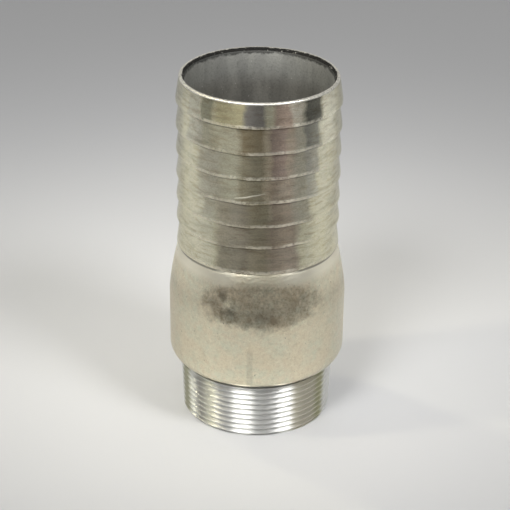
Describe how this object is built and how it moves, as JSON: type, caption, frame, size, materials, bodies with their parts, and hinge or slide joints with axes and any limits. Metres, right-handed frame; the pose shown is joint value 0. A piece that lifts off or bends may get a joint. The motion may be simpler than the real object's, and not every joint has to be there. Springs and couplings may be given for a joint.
{
  "type": "hose barb tail",
  "caption": "Straight steel hose tail: saw-tooth barbed shank for a hose, plain swelled collar, male taper pipe thread, open right through.",
  "frame": {"origin": "centre of the threaded end face, which the part stands on", "axes": "+Z along the tube's axis, from the threaded end up to the hose end"},
  "size_m": [0.069, 0.069, 0.1405],
  "materials": {
    "plated_steel": "zinc-plated steel, satin on the collar, turned on the shank, bright cut on the thread"
  },
  "bodies": {
    "root": {"hose_tail": "plated_steel"}
  },
  "joints": []
}
